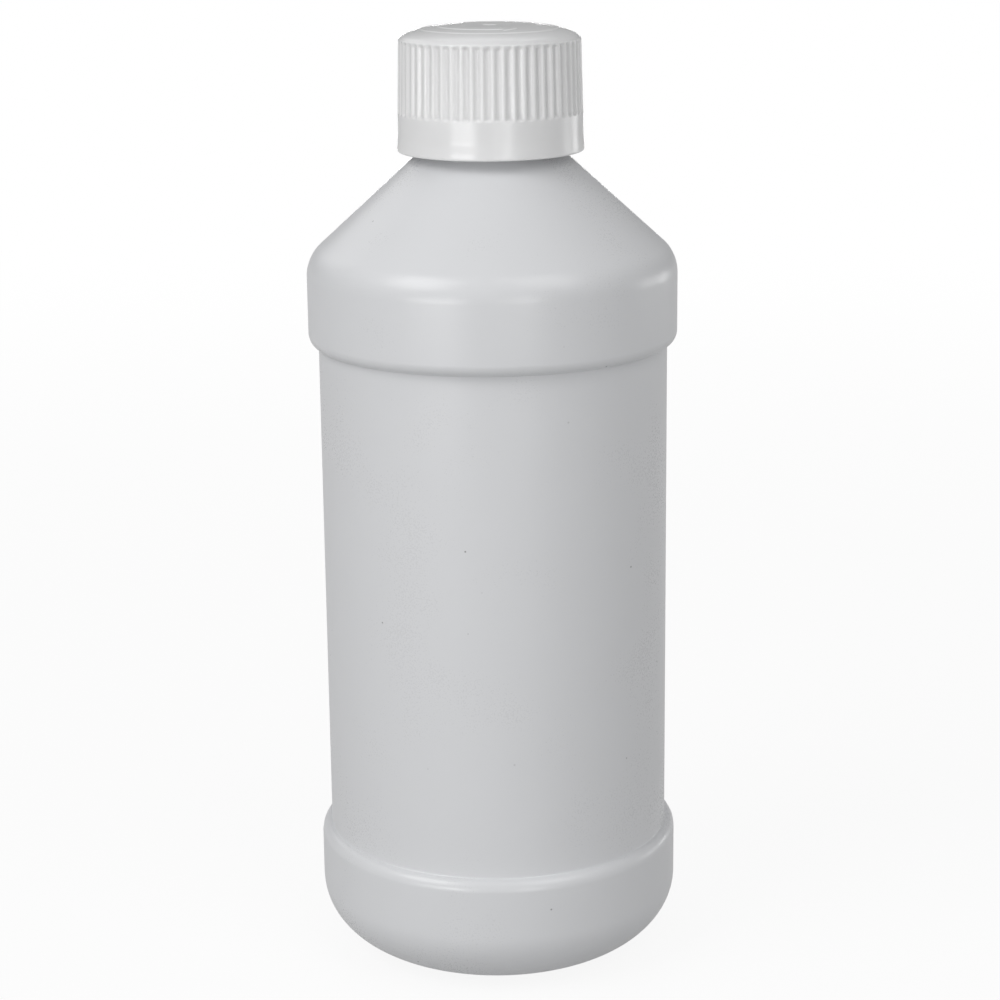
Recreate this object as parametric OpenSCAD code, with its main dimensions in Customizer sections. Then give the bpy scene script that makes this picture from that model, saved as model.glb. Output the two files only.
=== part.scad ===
// Round plastic bottle with a recessed label panel, a threaded neck and a push-and-turn cap.
// Millimetres. The bottle stands on the plane z = 0, with its axis along +Z.

/* [Body] */
// Diameter over the base ring and over the shoulder ring
body_d = 71.6; // [64:0.1:84]
// Depth by which the label panel is recessed from the two rings
panel_step = 1.93; // [1.5:0.01:3]
// Height of the base ring, from the floor to the panel's lower edge
base_ring_h = 24.8; // [20:0.1:36]
// Height of the label panel
panel_h = 98.5; // [60:0.1:140]
// Height of the shoulder ring, from the panel to the start of the shoulder's round
shoulder_ring_h = 13.45; // [6:0.05:24]
// Height of the round on the base ring's upper edge
ledge_h = 2.4; // [1.6:0.1:4]
// Height of the round on the shoulder ring's lower edge
ring_round = 2.3; // [1.2:0.1:3]
// Radius of the round between the shoulder ring and the shoulder's cone
shoulder_round = 7.3; // [4:0.1:12]
// Slope of the shoulder's cone above the horizontal, in degrees
shoulder_angle = 42.5; // [38:0.5:50]
// Wall thickness of the body
wall = 1.0; // [0.7:0.05:1.3]

/* [Base] */
// Width of the heel's round, measured inwards from the base ring
heel_w = 15.8; // [10:0.1:20]
// Height of the heel's round
heel_h = 13.2; // [8:0.1:16]
// Width of the flat ring that the bottle stands on
stand_w = 2.4; // [1.5:0.1:4]
// Depth of the recess inside the standing ring
recess_h = 3; // [1.5:0.1:5]
// Width of the recess's sloping side
recess_run = 4.5; // [2:0.1:7]
// Radius of the rounds at the top and the foot of the recess's side
recess_round = 1.6; // [1.2:0.1:2.5]

/* [Neck finish] */
// Diameter of the neck below and between its thread
neck_d = 25; // [23:0.1:27]
// Height by which the thread's ridge stands out from the neck
ridge_depth = 1.2; // [0.8:0.05:1.4]
// Wall thickness of the neck
neck_wall = 2; // [1.5:0.1:3]
// Height of the neck, from the shoulder's cone to the rim
finish_h = 17.6; // [17:0.1:20]
// Radius of the round where the shoulder runs into the neck
neck_round = 1.5; // [0.5:0.1:2]
// Radius of the rounds on the rim's two edges
rim_round = 0.4; // [0.2:0.05:0.6]
// Pitch of the thread, six turns to the inch
thread_pitch = 4.233; // [3.6:0.001:5]
// Turns of thread on the neck and in the cap
thread_turns = 1.5; // [1:0.25:1.75]
// Distance from the rim down to the upper edge of the thread
thread_drop = 1.3; // [0.8:0.1:2]
// Width of the thread's ridge at its root
ridge_root_w = 2.2; // [1.6:0.1:2.4]
// Width of the thread's ridge at its crest
ridge_crest_w = 0.9; // [0.5:0.1:1.2]
// Angle over which each end of the thread's ridge runs out, in degrees
ridge_fade = 36; // [20:1:60]

/* [Inner cap] */
// Radial clearance between the neck and the threaded inner cap
thread_gap = 0.3; // [0.2:0.05:0.4]
// Gap between flat faces that seat on each other
seat_gap = 0.05; // [0.02:0.01:0.1]
// Thickness of the sealing liner
liner_t = 0.8; // [0.5:0.1:1.2]
// Thickness of the inner cap's top
inner_top_t = 0.9; // [0.7:0.1:1.2]
// Wall thickness of the inner cap's hub, above its drive teeth
hub_t = 0.6; // [0.5:0.05:0.8]
// Wall thickness of the inner cap's skirt
skirt_t = 1.1; // [0.9:0.1:1.5]
// Distance by which the inner cap's two guide flanges stand out from its skirt
flange_w = 0.7; // [0.5:0.05:0.9]
// Height of each guide flange
flange_h = 1.6; // [1.2:0.1:2.5]
// Drop from the inner cap's top to the seat of its drive teeth
tooth_seat_drop = 1.95; // [1.5:0.05:2.4]
// Number of drive teeth on each cap
tooth_count = 12; // [6:1:14]
// Height of the inner cap's drive teeth
tooth_h = 1.1; // [0.8:0.05:1.3]
// Width of each drive tooth
tooth_w = 2.6; // [1.6:0.1:3]
// Clearance around the drive teeth
tooth_clear = 0.3; // [0.25:0.05:0.4]

/* [Cap shell] */
// Distance by which the shell's lower edge hangs below the neck's root
shell_drop = 1; // [0.6:0.05:1.2]
// Wall thickness of the shell at its lower edge
edge_wall = 1.8; // [1.6:0.05:2.4]
// Wall thickness of the shell's smooth band
band_wall = 1.6; // [1.4:0.05:2.2]
// Wall thickness of the shell where its crown begins
crown_wall = 1.26; // [1.1:0.01:1.5]
// Height of the smooth band below the flutes
band_h = 7.1; // [5:0.1:10]
// Height of the flare at the band's lower edge
flare_h = 3.6; // [1:0.1:4.5]
// Width of the crown's elliptical round
crown_w = 11.8; // [6:0.1:13]
// Height of the crown's elliptical round
crown_h = 2.82; // [2:0.01:3.5]
// Thickness of the shell's top
shell_t = 1.1; // [0.9:0.05:1.4]
// Radial clearance between the inner cap's guide flanges and the shell
guide_gap = 0.3; // [0.2:0.05:0.5]
// Distance that the shell is pressed down before its teeth drive the inner cap
push_travel = 1.2; // [0.8:0.05:1.3]
// Clear height left under the shell's top when it is pressed down
push_spare = 0.93; // [0.8:0.01:1.5]
// Distance by which the shell's retaining bead reaches under the inner cap
bead_grip = 0.45; // [0.3:0.05:0.6]
// Height of the retaining bead
bead_h = 1.2; // [0.8:0.1:1.6]
// Height of the plain lip below the retaining bead
lip_h = 0.9; // [0.5:0.1:1.2]
// Size of the chamfers on the shell's lower edge
shell_edge = 0.35; // [0.2:0.05:0.5]
// Number of flutes around the shell
flute_count = 55; // [36:1:60]
// Radius of each flute
flute_r = 0.75; // [0.6:0.05:0.85]
// Depth of each flute
flute_depth = 0.5; // [0.3:0.05:0.6]

/* [Cap top relief] */
// Height of the raised marks on the cap's top
relief_h = 0.12; // [0.1:0.02:0.4]
// Radius of the raised ring around the marks
relief_ring_r = 13.2; // [11:0.1:14]
// Middle radius of the two turn arrows
arrow_r = 9.4; // [7:0.1:10.5]
// Width of the turn arrows' shafts
arrow_w = 1.1; // [0.6:0.1:1.6]
// Angle that each turn arrow's shaft runs through, in degrees
arrow_sweep = 104; // [60:1:130]
// Length of each turn arrow's head
arrow_head = 3.2; // [2:0.1:4]

/* [Hidden] */
$fn = 72;

bottle_colour = [0.93, 0.93, 0.93];
cap_colour = [0.95, 0.95, 0.95];
inner_colour = [0.9, 0.9, 0.9];
liner_colour = [0.97, 0.97, 0.95];

// Largest turn between two points of an arc, in degrees
arc_step = 6;
// Rings of each turn of the thread
ridge_rings = 36;
// Depth to which raised details are let into the wall that carries them
root_depth = 0.3;

body_r = body_d / 2;
panel_r = body_r - panel_step;
neck_r = neck_d / 2;
bore_r = neck_r - neck_wall;

// Heights up the body
panel_z0 = base_ring_h;
panel_z1 = panel_z0 + panel_h;
shoulder_z = panel_z1 + shoulder_ring_h;
neck_z = cone_z(neck_r, 0);
rim_z = neck_z + finish_h;

// The neck finish starts on the shoulder's cone, below the rounds at the neck's root
finish_z = neck_z - neck_round - wall;

// Standing ring and base recess
heel_foot_r = body_r - heel_w;
stand_r = heel_foot_r - stand_w;
recess_r = stand_r - recess_run;

// Thread: both ridges climb together, half a pitch apart
ridge_top_z = rim_z - thread_drop - ridge_root_w / 2;
ridge_foot_z = ridge_top_z - thread_turns * thread_pitch;

// Inner cap, from its bore outwards and from the rim upwards
thread_bore_r = neck_r + ridge_depth + thread_gap;
skirt_r = thread_bore_r + skirt_t;
flange_r = skirt_r + flange_w;
hub_r = thread_bore_r + hub_t;
liner_r = thread_bore_r - thread_gap;
liner_z = rim_z + seat_gap;
inner_ceiling_z = liner_z + liner_t + seat_gap;
inner_top_z = inner_ceiling_z + inner_top_t;
tooth_seat_z = inner_top_z - tooth_seat_drop;
hub_chamfer = hub_r - liner_r;

// Cap shell, around the inner cap
shell_bore_r = flange_r + guide_gap;
shell_ceiling_z = inner_top_z + push_travel + push_spare;
shell_top_z = shell_ceiling_z + shell_t;
shell_z = neck_z - shell_drop;
edge_r = shell_bore_r + edge_wall;
band_r = shell_bore_r + band_wall;
crown_r = shell_bore_r + crown_wall;
band_top_z = shell_z + band_h;
crown_z = shell_top_z - crown_h;
crown_flat_r = crown_r - crown_w;
bead_r = flange_r - bead_grip;
bead_z = shell_z + lip_h;
bead_top_z = bead_z + bead_h;
inner_z = bead_top_z + seat_gap;

// Teeth: at rest the shell's teeth stand clear above the inner cap's
shell_tooth_z = tooth_seat_z + tooth_h + tooth_clear;

// Flutes follow the shell's draft
flute_draft = atan((band_r - crown_r) / (crown_z - band_top_z));
flute_out = flute_r - flute_depth;

// Points of an elliptical arc about a centre, from one angle to another
function arc(centre, w, h, a0, a1) =
    let (steps = ceil(abs(a1 - a0) / arc_step))
    [for (i = [0:steps]) let (a = a0 + (a1 - a0) * i / steps) centre + [w * cos(a), h * sin(a)]];

// Points of the round that takes the place of the corner b between a and c
function corner(a, b, c, round) =
    let (
        u = (a - b) / norm(a - b),
        v = (c - b) / norm(c - b),
        half = acos(u * v) / 2,
        centre = b + (u + v) / norm(u + v) * round / sin(half),
        from = b + u * round / tan(half) - centre,
        to = b + v * round / tan(half) - centre,
        a0 = atan2(from[1], from[0]),
        turn = atan2(from[0] * to[1] - from[1] * to[0], from * to)
    )
    arc(centre, round, round, a0, a0 + turn);

// Start of the shoulder's cone, and its height at a radius, on the skin inset from the outside
function cone_start(inset) =
    [body_r - shoulder_round, shoulder_z]
    + (shoulder_round - inset) * [sin(shoulder_angle), cos(shoulder_angle)];
function cone_z(r, inset) = cone_start(inset)[1] + (cone_start(inset)[0] - r) * tan(shoulder_angle);

// Point where the body ends and the neck finish starts, on the skin inset from the outside
function cone_end(inset) =
    let (start = cone_start(inset))
    [start[0] - (finish_z - start[1]) / tan(shoulder_angle), finish_z];

// Base from the axis to the heel, on the skin inset from the outside
function base_side(inset) =
    let (
        slope = atan(recess_h / recess_run),
        shift = inset * tan(slope / 2),
        middle = [0, recess_h + inset],
        top = [recess_r + shift, recess_h + inset],
        foot = [stand_r + shift, inset],
        heel = [heel_foot_r + shift, inset]
    )
    concat(
        [middle],
        corner(middle, top, foot, recess_round + inset),
        corner(top, foot, heel, max(recess_round - inset, root_depth))
    );

// Heel, base ring, label panel, shoulder ring and shoulder, on the skin inset from the outside
function body_side(inset) =
    let (
        step_w = max(panel_step - inset, root_depth),
        wall_r = body_r - inset - step_w
    )
    concat(
        arc([heel_foot_r, heel_h], heel_w - inset, heel_h - inset, -90, 0),
        arc([wall_r, panel_z0 - ledge_h], step_w, ledge_h - inset, 0, 90),
        [[panel_r - inset, panel_z0 - inset], [panel_r - inset, panel_z1 + inset]],
        arc([wall_r, panel_z1 + ring_round], step_w, max(ring_round - inset, root_depth), -90, 0),
        arc([body_r - shoulder_round, shoulder_z], shoulder_round - inset, shoulder_round - inset,
            0, 90 - shoulder_angle),
        [cone_end(inset)]
    );

// Neck finish from the shoulder's cone to the rim, on one side of the wall
function neck_side(r, inset, root_round, rim_edge) =
    let (root = [r, cone_z(r, inset)], rim = [r, rim_z])
    concat(
        [cone_end(inset)],
        corner(cone_end(inset), root, rim, root_round),
        corner(root, rim, [rim_edge, rim_z], rim_round)
    );

function reversed(list) = [for (i = [len(list) - 1:-1:0]) list[i]];

// Crown of the cap's shell, from its side to its middle
function crown_side(w, h) = concat(arc([crown_flat_r, crown_z], w, h, 0, 90), [[0, crown_z + h]]);

// One helical ridge, let into the wall that carries it, with ends that run out
module ridge(root_r, depth, foot_z) {
    outward = sign(depth);
    span = thread_turns * 360;
    rings = round(thread_turns * ridge_rings);
    points = [
        for (i = [0:rings])
        let (
            a = span * i / rings,
            rise = min(1, a / ridge_fade, (span - a) / ridge_fade),
            inner_r = root_r - outward * root_depth,
            sunk_r = root_r - outward * root_depth / 2,
            crest_r = sunk_r + (root_r + depth - sunk_r) * rise,
            z = foot_z + thread_pitch * a / 360
        )
        for (p = [
            [inner_r, -ridge_root_w / 2], [crest_r, -ridge_crest_w / 2],
            [crest_r, ridge_crest_w / 2], [inner_r, ridge_root_w / 2]
        ])
        [p[0] * cos(a), p[0] * sin(a), z + p[1]]
    ];
    sides = [
        for (i = [0:rings - 1], k = [0:3])
        let (a = 4 * i + k, b = 4 * i + (k + 1) % 4)
        each [[a, a + 4, b], [b, a + 4, b + 4]]
    ];
    last = 4 * rings;
    ends = [[0, 1, 2], [0, 2, 3], [last, last + 2, last + 1], [last, last + 3, last + 2]];
    faces = concat(sides, ends);
    polyhedron(points, depth < 0 ? faces : [for (f = faces) reversed(f)]);
}

// Ring of drive teeth with one upright side and one ramp, standing up or hanging down
module teeth(r0, r1, z, h, turn, up) {
    for (i = [0:tooth_count - 1])
        rotate([0, 0, turn + i * 360 / tooth_count])
            translate([r0, 0, z])
                rotate([90, 0, 90])
                    linear_extrude(r1 - r0)
                        scale([up, up])
                            polygon([
                                [-tooth_w / 2, -root_depth], [tooth_w / 2, -root_depth],
                                [tooth_w / 2, h / 2], [-tooth_w / 4, h], [-tooth_w / 2, h]
                            ]);
}

// Curved turn arrow that points anticlockwise, drawn flat
module turn_arrow() {
    half = arrow_w / 2;
    difference() {
        circle(arrow_r + half);
        circle(arrow_r - half);
        rotate(arrow_sweep)
            translate([-edge_r, 0])
                square(edge_r * 2);
        translate([-edge_r, -edge_r * 2])
            square(edge_r * 2);
    }
    rotate(arrow_sweep)
        translate([arrow_r, 0])
            polygon([[-arrow_head / 2, 0], [arrow_head / 2, 0], [0, arrow_head]]);
}

module bottle() {
    color(bottle_colour)
        rotate_extrude()
            polygon(concat(
                base_side(0),
                body_side(0),
                reversed(concat(base_side(wall), body_side(wall)))
            ));
}

module neck_finish() {
    color(bottle_colour) {
        rotate_extrude()
            polygon(concat(
                neck_side(neck_r, 0, neck_round, bore_r),
                reversed(neck_side(bore_r, wall, neck_round + wall, neck_r))
            ));
        ridge(neck_r, ridge_depth, ridge_foot_z);
    }
}

module liner() {
    color(liner_colour)
        translate([0, 0, liner_z])
            cylinder(r = liner_r, h = liner_t);
}

module inner_cap() {
    color(inner_colour) {
        rotate_extrude()
            polygon([
                [0, inner_ceiling_z], [thread_bore_r, inner_ceiling_z],
                [thread_bore_r, inner_z + flange_w], [thread_bore_r + flange_w, inner_z],
                [flange_r, inner_z], [flange_r, inner_z + flange_h],
                [skirt_r, inner_z + flange_h + flange_w], [skirt_r, tooth_seat_z - flange_h - flange_w],
                [flange_r, tooth_seat_z - flange_h], [flange_r, tooth_seat_z],
                [hub_r, tooth_seat_z], [hub_r, inner_top_z - hub_chamfer],
                [hub_r - hub_chamfer, inner_top_z], [0, inner_top_z]
            ]);
        ridge(thread_bore_r, -ridge_depth, ridge_foot_z - thread_pitch / 2);
        teeth(hub_r - root_depth, flange_r - tooth_clear, tooth_seat_z, tooth_h, 0, 1);
    }
}

module cap_shell() {
    color(cap_colour) {
        difference() {
            rotate_extrude()
                polygon(concat(
                    [[shell_bore_r + shell_edge, shell_z], [edge_r - shell_edge, shell_z],
                     [edge_r, shell_z + shell_edge], [band_r, shell_z + flare_h], [band_r, band_top_z]],
                    crown_side(crown_w, crown_h),
                    reversed(concat(
                        [[shell_bore_r, shell_z + shell_edge], [bead_r, bead_z],
                         [bead_r, bead_top_z], [shell_bore_r, bead_top_z]],
                        crown_side(shell_bore_r - crown_flat_r, crown_h - shell_t)
                    ))
                ));
            for (i = [0:flute_count - 1])
                rotate([0, 0, i * 360 / flute_count])
                    translate([band_r + flute_out, 0, band_top_z])
                        rotate([0, -flute_draft, 0])
                            cylinder(r = flute_r, h = shell_top_z - band_top_z);
        }
        top_relief();
        intersection() {
            teeth(hub_r + tooth_clear, edge_r, shell_ceiling_z, shell_ceiling_z - shell_tooth_z,
                  180 / tooth_count, -1);
            rotate_extrude()
                polygon(concat(
                    [[0, shell_tooth_z], [shell_bore_r + root_depth, shell_tooth_z]],
                    crown_side(shell_bore_r - crown_flat_r + root_depth, crown_h - shell_t + root_depth)
                ));
        }
    }
}

// Raised ring and turn arrows that follow the crown
module top_relief() {
    intersection() {
        linear_extrude(shell_top_z + relief_h) {
            difference() {
                circle(relief_ring_r);
                circle(relief_ring_r - arrow_w / 2);
            }
            turn_arrow();
            rotate(180)
                turn_arrow();
        }
        rotate_extrude()
            polygon(concat(
                crown_side(crown_w, crown_h + relief_h),
                reversed(crown_side(crown_w - root_depth, crown_h - root_depth))
            ));
    }
}

bottle();
neck_finish();
liner();
inner_cap();
cap_shell();
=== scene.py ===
"""Round plastic bottle with a recessed label panel and a fluted push-and-turn cap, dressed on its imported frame.

Outlines are written in millimetres, as on the CAD part, and the meshes are made in metres in the same frame:
the bottle stands on z = 0 with its axis along +Z, and the photograph looks at it along +Y.
"""
import math

import bpy
from mathutils import Matrix, Vector


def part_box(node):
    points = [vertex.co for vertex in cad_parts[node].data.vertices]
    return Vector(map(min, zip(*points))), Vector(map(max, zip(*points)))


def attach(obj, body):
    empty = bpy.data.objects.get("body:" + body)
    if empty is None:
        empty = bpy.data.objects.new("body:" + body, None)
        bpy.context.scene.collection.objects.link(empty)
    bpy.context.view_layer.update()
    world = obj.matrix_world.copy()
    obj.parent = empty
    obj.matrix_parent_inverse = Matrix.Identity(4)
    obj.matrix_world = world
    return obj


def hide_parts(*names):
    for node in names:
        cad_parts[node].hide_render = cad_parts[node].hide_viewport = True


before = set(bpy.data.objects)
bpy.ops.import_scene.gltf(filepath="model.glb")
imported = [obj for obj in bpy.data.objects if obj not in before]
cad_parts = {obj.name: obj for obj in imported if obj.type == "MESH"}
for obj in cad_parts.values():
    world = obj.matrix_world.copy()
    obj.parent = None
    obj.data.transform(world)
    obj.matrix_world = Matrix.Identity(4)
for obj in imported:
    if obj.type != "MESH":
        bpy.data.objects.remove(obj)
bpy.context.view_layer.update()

MM = 0.001

# Body
BODY_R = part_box("bottle")[1].x / MM
PANEL_STEP = 1.93
BASE_RING_H = 24.8
PANEL_H = 98.5
SHOULDER_RING_H = 13.45
LEDGE_H = 2.4
RING_ROUND = 2.3
SHOULDER_ROUND = 7.3
SHOULDER_ANGLE = math.radians(42.5)
WALL = 1.0
PANEL_FILLET = 0.3
PANEL_R = BODY_R - PANEL_STEP
PANEL_Z0 = BASE_RING_H
PANEL_Z1 = PANEL_Z0 + PANEL_H
SHOULDER_Z = PANEL_Z1 + SHOULDER_RING_H

# Base
HEEL_W = 15.8
HEEL_H = 13.2
STAND_W = 2.4
RECESS_H = 3.0
RECESS_RUN = 4.5
RECESS_ROUND = 1.6
HEEL_FOOT_R = BODY_R - HEEL_W
STAND_R = HEEL_FOOT_R - STAND_W
RECESS_R = STAND_R - RECESS_RUN
SMALLEST_ROUND = 0.3
LEDGE_SWEEP = 76

# Neck finish
NECK_R = 12.5
BORE_R = 10.5
NECK_ROUND = 1.5
RIM_ROUND = 0.4
RIDGE_DEPTH = 1.2
RIDGE_ROOT_W = 2.2
RIDGE_CREST_W = 0.9
RIDGE_FADE = 36.0
THREAD_PITCH = 4.233
THREAD_TURNS = 1.5
THREAD_DROP = 1.3
RIM_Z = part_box("neck_finish")[1].z / MM
RIDGE_FOOT_Z = RIM_Z - THREAD_DROP - RIDGE_ROOT_W / 2 - THREAD_TURNS * THREAD_PITCH

# Marks that the blow mould leaves: two parting lines, and the pinched seam across the base
PARTING_ANGLE = 4.0
PARTING_H = 0.05
PARTING_HALF_ANGLE = 0.5
PARTING_STEPS = (0.25, 0.5, 0.75, 1)
BOTTLE_COLUMNS = 144
PINCH_HALF_L = 11.5
PINCH_HALF_W = 0.8
PINCH_H = 0.4
PINCH_ROOT = 0.15
PINCH_STATIONS = 40
PINCH_SIDE_STEPS = 4
PINCH_TIP_SHARE = 0.05

# Cap shell
SHELL_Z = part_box("cap_shell")[0].z / MM
EDGE_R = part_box("cap_shell")[1].x / MM
BAND_H = 7.1
FLARE_H = 3.6
FLARE_STEPS = 8
CROWN_W = 11.8
CROWN_H = 2.82
SHELL_T = 1.1
SHELL_HEADROOM = 2.13
BORE_WALL = 1.8
BAND_WALL = 1.6
CROWN_WALL = 1.26
RELIEF_H = 0.12
SHELL_EDGE = 0.35
LIP_H = 0.9
LIP_ROUND = 0.25
BEAD_R = 15.35
BEAD_H = 1.2
FLUTE_COUNT = 55
FLUTE_R = 0.75
FLUTE_DEPTH = 0.5
FLUTE_SOFTNESS = 0.4
SHELF_H = 0.7
SHELF_STEPS = 5
FLUTE_END = 0.4
FLUTE_FADE = 1.0
FLUTE_COLUMNS = 8
RIM_LINE_R = 17.0
RIM_LINE_HALF_W = 0.28
RIM_LINE_DEPTH = 0.1
RELIEF_RING_R = 13.2
ARROW_R = 9.4
ARROW_W = 1.1
ARROW_SWEEP = 104.0
ARROW_WRAP = 142.0
ARROW_HEAD = 3.2
RELIEF_SOFTNESS = 0.09
RELIEF_MARGIN = 0.2
RELIEF_RING_ROWS_W = 1.0
ARROW_ROWS_W = 3.6
GATE_R = 1.5
GATE_DEPTH = 0.15
SHELL_BORE_R = EDGE_R - BORE_WALL
BAND_R = SHELL_BORE_R + BAND_WALL
CROWN_R = SHELL_BORE_R + CROWN_WALL
BAND_TOP_Z = SHELL_Z + BAND_H
CROWN_FLAT_R = CROWN_R - CROWN_W
INNER_TOP_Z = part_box("inner_cap")[1].z / MM
SHELL_TOP_Z = INNER_TOP_Z + SHELL_HEADROOM + SHELL_T
CROWN_Z = SHELL_TOP_Z - CROWN_H
SHELL_CEILING_Z = SHELL_TOP_Z - SHELL_T

# Drive teeth that hang inside the shell
TOOTH_COUNT = 12
TOOTH_W = 2.6
TOOTH_R0 = 14.9
TOOTH_ROOT = 0.3
TOOTH_FLOOR_DROP = 1.95
TOOTH_H = 1.1
TOOTH_CLEARANCE = 0.3
TOOTH_Z = INNER_TOP_Z - TOOTH_FLOOR_DROP + TOOTH_H + TOOTH_CLEARANCE


def arc(centre, w, h, start, end, step=4.0):
    """Points of an elliptical arc about a centre, from one angle to another, in degrees."""
    count = math.ceil(abs(end - start) / step)
    angles = [math.radians(start + (end - start) * i / count) for i in range(count + 1)]
    return [(centre[0] + w * math.cos(a), centre[1] + h * math.sin(a)) for a in angles]


def rounded(a, b, c, radius):
    """Points of the round that takes the place of the corner b between a and c."""
    a, b, c = Vector(a), Vector(b), Vector(c)
    u = (a - b).normalized()
    v = (c - b).normalized()
    half = u.angle(v) / 2
    centre = b + (u + v).normalized() * (radius / math.sin(half))
    first = b + u * (radius / math.tan(half)) - centre
    last = b + v * (radius / math.tan(half)) - centre
    start = math.degrees(math.atan2(first.y, first.x))
    turn = math.degrees(math.atan2(first.x * last.y - first.y * last.x, first.dot(last)))
    return arc(centre, radius, radius, start, start + turn)


def spaced(points, gap):
    """The same line with points added, so that no two neighbours are further apart than gap."""
    line = [points[0]]
    for point in points[1:]:
        last = line[-1]
        length = math.dist(last, point)
        if length < 1e-6:
            continue
        count = math.ceil(length / gap)
        line += [
            (last[0] + (point[0] - last[0]) * i / count, last[1] + (point[1] - last[1]) * i / count)
            for i in range(1, count + 1)
        ]
    return line


def ease(value):
    """A smooth step from 0 to 1 as value goes from 0 to 1."""
    value = min(1.0, max(0.0, value))
    return value * value * (3 - 2 * value)


def mesh_piece(name, points, faces):
    """A smooth mesh object from points in millimetres."""
    mesh = bpy.data.meshes.new(name)
    mesh.from_pydata([[x * MM for x in p] for p in points], [], faces)
    mesh.shade_smooth()
    mesh.update()
    piece = bpy.data.objects.new(name, mesh)
    bpy.context.scene.collection.objects.link(piece)
    return piece


def turned(rows, angles, shape):
    """Points and faces of a closed turned solid: rows of (place, r, z) from axis to axis, each moved by shape."""
    count = len(angles)
    points = [(0.0, 0.0, rows[0][2])]
    for place, r, z in rows[1:-1]:
        for a in angles:
            moved_r, moved_z = shape(place, r, z, a)
            turn = math.radians(a)
            points.append((moved_r * math.cos(turn), moved_r * math.sin(turn), moved_z))
    points.append((0.0, 0.0, rows[-1][2]))
    last = len(points) - 1
    faces = []
    for i in range(count):
        j = (i + 1) % count
        faces.append((0, 1 + j, 1 + i))
        for row in range(len(rows) - 3):
            near = 1 + row * count
            far = near + count
            faces.append((near + i, near + j, far + j, far + i))
        end = 1 + (len(rows) - 3) * count
        faces.append((last, end + i, end + j))
    return points, faces


def zone(name, points):
    """Rows of one zone of a turned solid."""
    return [(name, r, z) for r, z in points]


# Bottle outline, on the skin that lies inset from the outside


def base_line(inset):
    slope = math.atan2(RECESS_H, RECESS_RUN)
    shift = inset * math.tan(slope / 2)
    middle = (0.0, RECESS_H + inset)
    top = (RECESS_R + shift, RECESS_H + inset)
    foot = (STAND_R + shift, inset)
    heel = (HEEL_FOOT_R + shift, inset)
    line = [middle]
    line += rounded(middle, top, foot, RECESS_ROUND + inset)
    line += rounded(top, foot, heel, max(RECESS_ROUND - inset, SMALLEST_ROUND))
    return line


def body_line(inset):
    step_w = max(PANEL_STEP - inset, SMALLEST_ROUND)
    wall_r = BODY_R - inset - step_w
    foot = (PANEL_R - inset, PANEL_Z0 - inset)
    head = (PANEL_R - inset, PANEL_Z1 + inset)
    ledge = arc((wall_r, PANEL_Z0 - LEDGE_H), step_w, LEDGE_H - inset, 0, LEDGE_SWEEP)
    ring_h = max(RING_ROUND - inset, SMALLEST_ROUND)
    underside = arc((wall_r, PANEL_Z1 + RING_ROUND), step_w, ring_h, -LEDGE_SWEEP, 0)
    line = arc((HEEL_FOOT_R, HEEL_H), HEEL_W - inset, HEEL_H - inset, -90, 0, 3.0)
    line += ledge
    line += rounded(ledge[-1], foot, head, PANEL_FILLET)
    line += rounded(foot, head, underside[0], PANEL_FILLET)
    line += underside
    line += arc(
        (BODY_R - SHOULDER_ROUND, SHOULDER_Z), SHOULDER_ROUND - inset, SHOULDER_ROUND - inset,
        0, 90 - math.degrees(SHOULDER_ANGLE), 3.0)
    return line


def neck_root(r, shoulder):
    """Where the shoulder's cone would meet the neck of radius r."""
    return (r, shoulder[1] + (shoulder[0] - r) * math.tan(SHOULDER_ANGLE))


def bottle_rows():
    outside = body_line(0.0)
    inside = body_line(WALL)
    root = neck_root(NECK_R, outside[-1])
    bore_root = neck_root(BORE_R, inside[-1])
    rim = (NECK_R, RIM_Z)
    bore_rim = (BORE_R, RIM_Z)
    root_round = rounded(outside[-1], root, rim, NECK_ROUND)
    rim_round = rounded(root, rim, bore_rim, RIM_ROUND)
    bore_rim_round = rounded(rim, bore_rim, bore_root, RIM_ROUND)
    bore_root_round = rounded(bore_rim, bore_root, inside[-1], NECK_ROUND + WALL)
    body = spaced(outside + root_round, 4.0)
    neck = spaced([root_round[-1], rim_round[0]], 0.2)
    lining = spaced(bore_rim_round + bore_root_round + inside[::-1], 4.0)
    base = spaced(base_line(0.0), 2.0)
    floor = spaced(base_line(WALL)[::-1], 2.0)
    return (zone("base", base) + zone("body", body) + zone("neck", neck[1:]) + zone("rim", rim_round[1:])
            + zone("inside", lining) + zone("inside", floor))


def ridge(a, z):
    """Height of the neck's thread at an angle and a height."""
    height = 0.0
    for turn in range(math.ceil(THREAD_TURNS)):
        run = a + 360 * turn
        span = 360 * THREAD_TURNS
        if run > span:
            continue
        fade = ease(min(1.0, run / RIDGE_FADE, (span - run) / RIDGE_FADE))
        off = abs(z - RIDGE_FOOT_Z - THREAD_PITCH * run / 360)
        flank = (RIDGE_ROOT_W - RIDGE_CREST_W) / 2
        height = max(height, RIDGE_DEPTH * fade * ease((RIDGE_ROOT_W / 2 - off) / flank))
    return height


def parting(a):
    """Height of the mould's parting line at an angle."""
    off = abs((a - PARTING_ANGLE + 90) % 180 - 90)
    return PARTING_H * ease(1 - off / PARTING_HALF_ANGLE)


def bottle_shape(place, r, z, a):
    if place == "neck":
        r += ridge(a, z)
    if place in ("neck", "body"):
        r += parting(a) * ease(z / HEEL_H)
    return r, z


def bottle_angles():
    """Even steps round the bottle, with close ones across each parting line."""
    angles = {360 * i / BOTTLE_COLUMNS for i in range(BOTTLE_COLUMNS)}
    for middle in (PARTING_ANGLE, PARTING_ANGLE + 180):
        angles |= {middle + side * part * PARTING_HALF_ANGLE for side in (-1, 1) for part in PARTING_STEPS}
    return sorted(angles)


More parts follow.
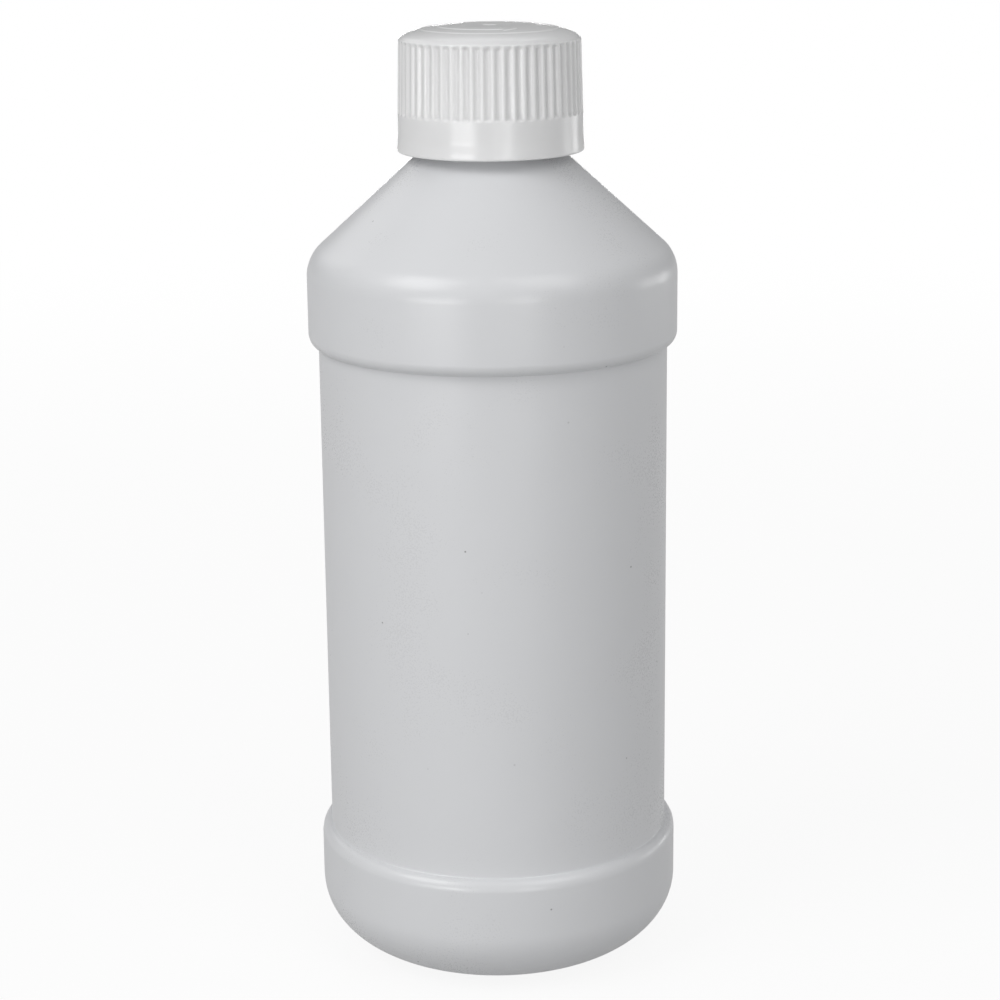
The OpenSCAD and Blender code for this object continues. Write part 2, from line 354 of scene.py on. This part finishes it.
def pinch_seam():
    """The pinched seam across the base, a low ridge that tapers out at both ends."""
    turn = math.radians(PARTING_ANGLE)
    row = 2 * PINCH_SIDE_STEPS + 1
    points = []
    for i in range(PINCH_STATIONS + 1):
        along = -PINCH_HALF_L + 2 * PINCH_HALF_L * i / PINCH_STATIONS
        taper = math.sqrt(max(0.0, 1 - (along / PINCH_HALF_L) ** 2)) ** 0.5
        for across in range(-PINCH_SIDE_STEPS, PINCH_SIDE_STEPS + 1):
            side = across / PINCH_SIDE_STEPS
            drop = (1 - side * side) ** 0.75
            x, y = along, side * PINCH_HALF_W * max(taper, PINCH_TIP_SHARE)
            points.append((
                x * math.cos(turn) - y * math.sin(turn), x * math.sin(turn) + y * math.cos(turn),
                RECESS_H + PINCH_ROOT - (PINCH_H + PINCH_ROOT) * taper * drop))
    faces = []
    for i in range(PINCH_STATIONS):
        start = row * i
        faces += [(start + k, start + k + 1, start + k + row + 1, start + k + row) for k in range(row - 1)]
        faces.append((start + row - 1, start, start + row, start + 2 * row - 1))
    faces.append(tuple(reversed(range(row))))
    faces.append(tuple(row * PINCH_STATIONS + k for k in range(row)))
    return points, faces


# Cap shell


def flute_cut(r, z, a):
    """Depth that the flutes take off the shell at a place."""
    pitch = 360 / FLUTE_COUNT
    off = math.radians((a + pitch / 2) % pitch - pitch / 2)
    across = abs(r * math.sin(off))
    axis = BAND_R + FLUTE_R - FLUTE_DEPTH
    axis -= (BAND_R - CROWN_R) * (z - BAND_TOP_Z) / (CROWN_Z - BAND_TOP_Z)
    cut = r * math.cos(off) - axis + math.sqrt(max(0.0, FLUTE_R ** 2 - across ** 2))
    soft = max(FLUTE_SOFTNESS - abs(cut), 0.0)
    ends = ease((z - BAND_TOP_Z) / SHELF_H) * ease((CROWN_Z + FLUTE_END - z) / FLUTE_FADE)
    return (max(cut, 0.0) + soft * soft / (4 * FLUTE_SOFTNESS)) * ends


def rim_line(r):
    """Depth of the fine groove round the crown's rim, above the flutes."""
    return RIM_LINE_DEPTH * ease(1 - abs(r - RIM_LINE_R) / RIM_LINE_HALF_W)


def relief(r, a):
    """Share of the raised marks' height on the crown: a ring, and two arrows that show the turn."""
    reach = [ARROW_W / 4 - abs(r - RELIEF_RING_R + ARROW_W / 4)]
    along = a % 180
    tail = math.radians(along if along < ARROW_WRAP else along - 180) * ARROW_R
    past = tail - math.radians(ARROW_SWEEP) * ARROW_R
    reach.append(min(ARROW_W / 2 - abs(r - ARROW_R), tail, -past))
    slope = math.hypot(ARROW_HEAD, ARROW_HEAD / 2) / ARROW_HEAD
    reach.append(min(past, (ARROW_HEAD / 2 - past / 2 - abs(r - ARROW_R)) / slope))
    return ease(0.5 + max(reach) / (2 * RELIEF_SOFTNESS))


def gate_dimple(r):
    """Depth of the shallow dimple that the mould's gate leaves in the crown's middle, with its pip."""
    dimple = GATE_DEPTH * ease((GATE_R - r) / (0.3 * GATE_R))
    return dimple - 0.8 * GATE_DEPTH * ease((0.4 * GATE_R - r) / (0.2 * GATE_R))


def shell_shape(place, r, z, a):
    if place == "crown":
        z += RELIEF_H * relief(r, a) - gate_dimple(r) - rim_line(r)
    if place in ("fluted", "crown") and r > RELIEF_RING_R:
        r -= flute_cut(r, z, a)
    return r, z


def crown_line(w, h, step):
    return arc((CROWN_FLAT_R, CROWN_Z), w, h, 0, 90, step) + [(0.0, CROWN_Z + h)]


def shell_rows():
    ceiling = crown_line(SHELL_BORE_R - CROWN_FLAT_R, CROWN_H - SHELL_T, 6.0)[::-1]
    bead_z = SHELL_Z + LIP_H
    bead_top = bead_z + BEAD_H
    lip = [(SHELL_BORE_R, bead_top)]
    lip += rounded((SHELL_BORE_R, bead_top), (BEAD_R, bead_top), (BEAD_R, bead_z), LIP_ROUND)
    lip += rounded((BEAD_R, bead_top), (BEAD_R, bead_z), (SHELL_BORE_R, SHELL_Z + SHELL_EDGE), LIP_ROUND)
    lip += [(SHELL_BORE_R, SHELL_Z + SHELL_EDGE), (SHELL_BORE_R + SHELL_EDGE, SHELL_Z)]
    edge = rounded((SHELL_BORE_R, SHELL_Z), (EDGE_R, SHELL_Z), (EDGE_R, SHELL_Z + 1), SHELL_EDGE)
    flare = [
        (BAND_R + (EDGE_R - BAND_R) * (1 - ease(i / FLARE_STEPS)),
         SHELL_Z + SHELL_EDGE + (FLARE_H - SHELL_EDGE) * i / FLARE_STEPS)
        for i in range(FLARE_STEPS + 1)
    ]
    band = [(BAND_R, BAND_TOP_Z - 0.3), (BAND_R, BAND_TOP_Z)]
    shelf = [(BAND_R, BAND_TOP_Z + SHELF_H * i / SHELF_STEPS) for i in range(1, SHELF_STEPS + 1)]
    fade_z = CROWN_Z + FLUTE_END - FLUTE_FADE
    fade_r = CROWN_R + (BAND_R - CROWN_R) * (CROWN_Z - fade_z) / (CROWN_Z - BAND_TOP_Z)
    fluted = spaced([shelf[-1], (fade_r, fade_z)], 1.2)
    fluted += spaced([fluted[-1], (CROWN_R, CROWN_Z)], 0.12)[1:]
    crown = crown_line(CROWN_W, CROWN_H, 2.0)
    ring_r = RELIEF_RING_R + RELIEF_MARGIN
    ring_end_r = ring_r - RELIEF_RING_ROWS_W
    marks_r = ARROW_R + ARROW_HEAD / 2 + RELIEF_MARGIN
    marks_end_r = marks_r - ARROW_ROWS_W
    crown_rows = [p for p in crown if p[0] > ring_r]
    for outer, inner, gap in (
            (ring_r, ring_end_r, 0.11), (ring_end_r, marks_r, 0.5), (marks_r, marks_end_r, 0.15),
            (marks_end_r, GATE_R, 0.6)):
        between = [p for p in crown if outer >= p[0] > inner]
        if inner == GATE_R:
            between.append((GATE_R, SHELL_TOP_Z))
        crown_rows += spaced([crown_rows[-1]] + between, gap)[1:]
    crown_rows += spaced([crown_rows[-1], (0.0, SHELL_TOP_Z)], 0.12)[1:]
    inside = spaced(ceiling, 3.0) + spaced([ceiling[-1]] + lip, 3.0)[1:]
    return (zone("inside", inside) + zone("band", spaced(edge + flare + band, 1.5)) + zone("fluted", shelf)
            + zone("fluted", fluted[1:]) + zone("crown", crown_rows[1:]))


def ceiling_z(r):
    """Height of the shell's inside over a radius."""
    share = min(1.0, max(0.0, r - CROWN_FLAT_R) / (SHELL_BORE_R - CROWN_FLAT_R))
    return CROWN_Z + (CROWN_H - SHELL_T) * math.sqrt(1 - share * share)


def drive_teeth():
    """The teeth that hang inside the shell, each with one upright side and one ramp."""
    points = []
    faces = []
    half = TOOTH_W / 2
    ramp_z = (SHELL_CEILING_Z + TOOTH_Z) / 2
    for i in range(TOOTH_COUNT):
        turn = Matrix.Rotation(math.radians((i + 0.5) * 360 / TOOTH_COUNT), 3, "Z")
        start = len(points)
        for r in (TOOTH_R0, SHELL_BORE_R + TOOTH_ROOT):
            top = ceiling_z(r) + TOOTH_ROOT
            outline = [(half, top), (-half, top), (-half, ramp_z), (half / 2, TOOTH_Z), (half, TOOTH_Z)]
            points += [tuple(turn @ Vector((r, y, z))) for y, z in outline]
        count = len(outline)
        faces.append(tuple(start + k for k in range(count)))
        faces.append(tuple(start + count + k for k in reversed(range(count))))
        for k in range(count):
            n = (k + 1) % count
            faces.append((start + k, start + count + k, start + count + n, start + n))
    return points, faces


# Materials


class Value:
    """A shader socket that takes part in sums; each operation adds its Math node."""

    def __init__(self, graph, socket):
        self.graph = graph
        self.socket = socket

    def math(self, operation, first, second):
        return self.graph.node("ShaderNodeMath", {"operation": operation}, {0: first, 1: second})

    def __add__(self, other):
        return self.math("ADD", self, other)

    def __radd__(self, other):
        return self.math("ADD", other, self)

    def __sub__(self, other):
        return self.math("SUBTRACT", self, other)

    def __rsub__(self, other):
        return self.math("SUBTRACT", other, self)

    def __mul__(self, other):
        return self.math("MULTIPLY", self, other)

    def __rmul__(self, other):
        return self.math("MULTIPLY", other, self)

    def __pow__(self, other):
        return self.math("POWER", self, other)


class Graph:
    """The node tree of a material or of the world, whose nodes are all made by one method."""

    def __init__(self, owner, shader, constants):
        self.owner = owner
        owner.use_nodes = True
        self.tree = owner.node_tree
        self.shader = self.tree.nodes[shader]
        self.feed(constants)

    def node(self, kind, settings, sockets, output=0):
        """A new node of a kind, with its settings made first and its sockets given values or links."""
        made = self.tree.nodes.new(kind)
        for setting, value in settings.items():
            setattr(made, setting, value)
        for socket, value in sockets.items():
            self.put(made.inputs[socket], value)
        return Value(self, made.outputs[output])

    def put(self, socket, value):
        if isinstance(value, Value):
            self.tree.links.new(value.socket, socket)
        else:
            socket.default_value = value

    def feed(self, sockets):
        """Gives values or links to the shader's own sockets."""
        for socket, value in sockets.items():
            self.put(self.shader.inputs[socket], value)

    def place(self):
        return self.node("ShaderNodeTexCoord", {}, {}, "Object")

    def noise(self, place, scale, detail, roughness=0.5):
        sockets = {"Vector": place, "Scale": scale, "Detail": detail, "Roughness": roughness}
        return self.node("ShaderNodeTexNoise", {}, sockets, "Fac")

    def step(self, value, low, high):
        """A smooth step of a value from 0 at low to 1 at high."""
        settings = {"interpolation_type": "SMOOTHSTEP"}
        return self.node("ShaderNodeMapRange", settings, {"Value": value, "From Min": low, "From Max": high})

    def mix(self, share, first, second):
        return self.node("ShaderNodeMix", {"data_type": "RGBA"}, {"Factor": share, 6: first, 7: second}, 2)

    def bump(self, height, strength, distance, normal=None):
        sockets = {"Height": height, "Strength": strength, "Distance": distance}
        if normal:
            sockets["Normal"] = normal
        return self.node("ShaderNodeBump", {}, sockets)

    def ray(self, kind):
        """1 for rays of a kind, such as those that come straight from the camera."""
        return self.node("ShaderNodeLightPath", {}, {}, "Is %s Ray" % kind)


def principled(name, constants):
    """A node material on a Principled shader, with its constant values on the shader's own sockets."""
    return Graph(bpy.data.materials.new(name), "Principled BSDF", constants)


def grey(level, cool=0.0):
    """A near-neutral colour, made a little cooler, or warmer if cool is below zero."""
    return (level - cool / 2, level, level + cool, 1.0)


def bottle_plastic():
    finish = principled("satin_polyethylene", {"Specular IOR Level": 0.5, "IOR": 1.52})
    place = finish.place()
    cloud = finish.noise(place, 45, 2)
    peel = finish.noise(place, 320, 1)
    grain = finish.noise(place, 3200, 2)
    fleck = {"Vector": place, "Scale": 190, "Randomness": 1.0}
    distance = finish.node("ShaderNodeTexVoronoi", {}, fleck, "Distance")
    shade = finish.node("ShaderNodeTexVoronoi", {}, fleck, "Color")
    chance = finish.node("ShaderNodeSeparateColor", {}, {0: shade})
    speck = (1 - finish.step(distance, 0.022, 0.05)) * chance ** 3
    white = finish.mix(cloud, grey(0.735, 0.014), grey(0.765, 0.018))
    finish.feed({
        "Base Color": finish.mix(speck, white, grey(0.16)),
        "Roughness": 0.23 + 0.06 * cloud + 0.05 * grain,
        "Normal": finish.bump(grain, 0.12, 0.00002, finish.bump(peel, 0.1, 0.0001)),
    })
    return finish.owner


def cap_plastic():
    finish = principled("semi_gloss_polypropylene", {
        "Specular IOR Level": 0.5, "IOR": 1.49, "Subsurface Weight": 0.8, "Subsurface Radius": (1, 1, 1),
        "Subsurface Scale": 0.0015})
    place = finish.place()
    cloud = finish.noise(place, 90, 2)
    grain = finish.noise(place, 2600, 2)
    height = finish.node("ShaderNodeSeparateXYZ", {}, {0: place}, "Z")
    # Painted shade: the crown is mixed towards a darker grey by height, standing in for the lower light that falls
    # on the top of the cap; the real cap is one even white.
    crown = finish.step(height, (CROWN_Z - 0.5) * MM, (CROWN_Z + 1.5) * MM)
    white = finish.mix(cloud, grey(0.84, 0.002), grey(0.86, 0.004))
    finish.feed({
        "Base Color": finish.mix(crown, white, grey(0.77, 0.006)),
        "Roughness": 0.17 + 0.06 * cloud + 0.04 * grain,
        "Normal": finish.bump(grain, 0.1, 0.00002),
    })
    return finish.owner


def inner_cap_plastic():
    finish = principled("natural_polypropylene", {"Specular IOR Level": 0.5, "IOR": 1.49})
    place = finish.place()
    cloud = finish.noise(place, 120, 3)
    grain = finish.noise(place, 2000, 2)
    finish.feed({
        "Base Color": finish.mix(cloud, grey(0.76, -0.02), grey(0.82, -0.01)),
        "Roughness": 0.38 + 0.1 * cloud,
        "Normal": finish.bump(grain, 0.12, 0.00003),
    })
    return finish.owner


def liner_foam():
    finish = principled("liner_foam", {"Specular IOR Level": 0.25, "IOR": 1.45})
    place = finish.place()
    cells = finish.node("ShaderNodeTexVoronoi", {}, {"Vector": place, "Scale": 2600}, "Distance")
    cloud = finish.noise(place, 150, 3)
    finish.feed({
        "Base Color": finish.mix(cloud, grey(0.8, -0.04), grey(0.87, -0.02)),
        "Roughness": 0.75 + 0.15 * cloud,
        "Normal": finish.bump(cells, 0.35, 0.0001),
    })
    return finish.owner


# Pieces

bottle_finish = bottle_plastic()
cap_finish = cap_plastic()

bottle = mesh_piece("bottle_blown", *turned(bottle_rows(), bottle_angles(), bottle_shape))
bottle.data.materials.append(bottle_finish)
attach(bottle, "bottle")
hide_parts("bottle", "neck_finish")

seam = mesh_piece("base_pinch_seam", *pinch_seam())
seam.data.materials.append(bottle_finish)
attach(seam, "bottle")

shell_columns = FLUTE_COLUMNS * FLUTE_COUNT
shell_angles = [360 * i / shell_columns for i in range(shell_columns)]
shell = mesh_piece("cap_shell_fluted", *turned(shell_rows(), shell_angles, shell_shape))
shell.data.materials.append(cap_finish)
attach(shell, "cap_shell")
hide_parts("cap_shell")

teeth = mesh_piece("cap_shell_teeth", *drive_teeth())
teeth.data.shade_flat()
teeth.data.materials.append(cap_finish)
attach(teeth, "cap_shell")

for node, finish in (("inner_cap", inner_cap_plastic()), ("liner", liner_foam())):
    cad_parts[node].material_slots[0].material = finish

# Camera, in millimetres and degrees: the fit to the photograph's outline
CAMERA_BACK = 477.6
CAMERA_UP = 220.0
CAMERA_DOWN = 14.44
CAMERA_ROLL = 0.62
CAMERA_PAN = 0.129
FOCAL_PIXELS = 2495.6
CENTRE_ROW = 470.1
IMAGE_PIXELS = 1000

camera_data = bpy.data.cameras.new("camera")
camera_data.sensor_width = 36
camera_data.lens = FOCAL_PIXELS / IMAGE_PIXELS * camera_data.sensor_width
camera_data.shift_y = (CENTRE_ROW - IMAGE_PIXELS / 2) / IMAGE_PIXELS
camera_data.clip_start = 0.01
camera = bpy.data.objects.new("camera", camera_data)
camera.matrix_world = (
    Matrix.Translation(Vector((0, -CAMERA_BACK, CAMERA_UP)) * MM)
    @ Matrix.Rotation(math.radians(-CAMERA_PAN), 4, "Z")
    @ Matrix.Rotation(math.radians(90 - CAMERA_DOWN), 4, "X")
    @ Matrix.Rotation(math.radians(-CAMERA_ROLL), 4, "Z")
)
bpy.context.scene.collection.objects.link(camera)
bpy.context.scene.camera = camera

# Floor and light
FLOOR_HALF = 6.0
FLOOR_BOUNCE = 0.42
FLOOR_SHINE = 0.45
SHADOW_SHARE = 0.1
FILL = 0.27
LAMP_AIM = Vector((0, 0, 0.1))
LAMP_DISTANCE = 1.1


def pale_floor():
    """A floor that the camera sees as white, apart from the soft shadow near the bottle."""
    finish = principled("pale_floor", {"Roughness": 0.9, "Specular IOR Level": 0.1})
    camera_ray = finish.ray("Camera")
    reach = finish.node("ShaderNodeVectorMath", {"operation": "LENGTH"}, {0: finish.place()}, "Value")
    plain = finish.step(reach, 0.2, 0.9)
    finish.feed({"Base Color": finish.mix(camera_ray, grey(FLOOR_BOUNCE), grey(0.95))})
    white = finish.node("ShaderNodeEmission", {}, {"Color": grey(1.0), "Strength": 1.0})
    share = camera_ray * (1 - SHADOW_SHARE * (1 - plain)) + FLOOR_SHINE * finish.ray("Glossy")
    lit = Value(finish, finish.shader.outputs[0])
    seen = finish.node("ShaderNodeMixShader", {}, {0: share, 1: lit, 2: white})
    finish.put(finish.tree.nodes["Material Output"].inputs["Surface"], seen)
    return finish.owner


corners = [(FLOOR_HALF / MM * x, FLOOR_HALF / MM * y, 0.0) for x, y in ((-1, -1), (1, -1), (1, 1), (-1, 1))]
floor = mesh_piece("floor", corners, [(0, 1, 2, 3)])
floor.data.materials.append(pale_floor())

studio = Graph(bpy.data.worlds.new("studio"), "Background", {"Color": grey(1.0)})
studio.feed({"Strength": FILL + (1 - FILL) * studio.ray("Camera")})
bpy.context.scene.world = studio.owner


def softbox(name, bearing, climb, width, height, power):
    """A soft lamp round the bottle: bearing in degrees to the right of the camera's side, climb above the level."""
    data = bpy.data.lights.new(name, "AREA")
    data.shape = "RECTANGLE"
    data.size = width
    data.size_y = height
    data.energy = power
    turn = Matrix.Rotation(math.radians(bearing), 3, "Z") @ Matrix.Rotation(math.radians(-climb), 3, "X")
    away = turn @ Vector((0, -LAMP_DISTANCE, 0))
    lamp = bpy.data.objects.new(name, data)
    lamp.location = LAMP_AIM + away
    lamp.rotation_euler = (-away).to_track_quat("-Z", "Y").to_euler()
    bpy.context.scene.collection.objects.link(lamp)


softbox("key_left", -54, 44, 0.6, 0.6, 4.2)
softbox("low_left", -34, 0, 0.6, 0.12, 1.9)
softbox("back_left", -140, 30, 0.5, 0.5, 0.5)
softbox("strip_left", -27, 6, 0.12, 0.5, 0.5)
softbox("strip_right", 20, 5, 0.12, 0.5, 0.7)
softbox("front_right", 42, 50, 0.6, 0.7, 2.3)
softbox("low_right", 16, 0, 0.55, 0.1, 0.7)
softbox("side_right", 108, 0, 0.3, 0.4, 0.8)
softbox("back_right", 127, -2, 0.25, 0.3, 0.7)
softbox("behind", 180, 58, 0.7, 0.5, 1.1)
softbox("low_behind", 180, 0, 0.3, 0.18, 1.6)
softbox("top", 0, 88, 0.6, 0.6, 0.2)

bpy.context.scene.view_settings.view_transform = "Standard"
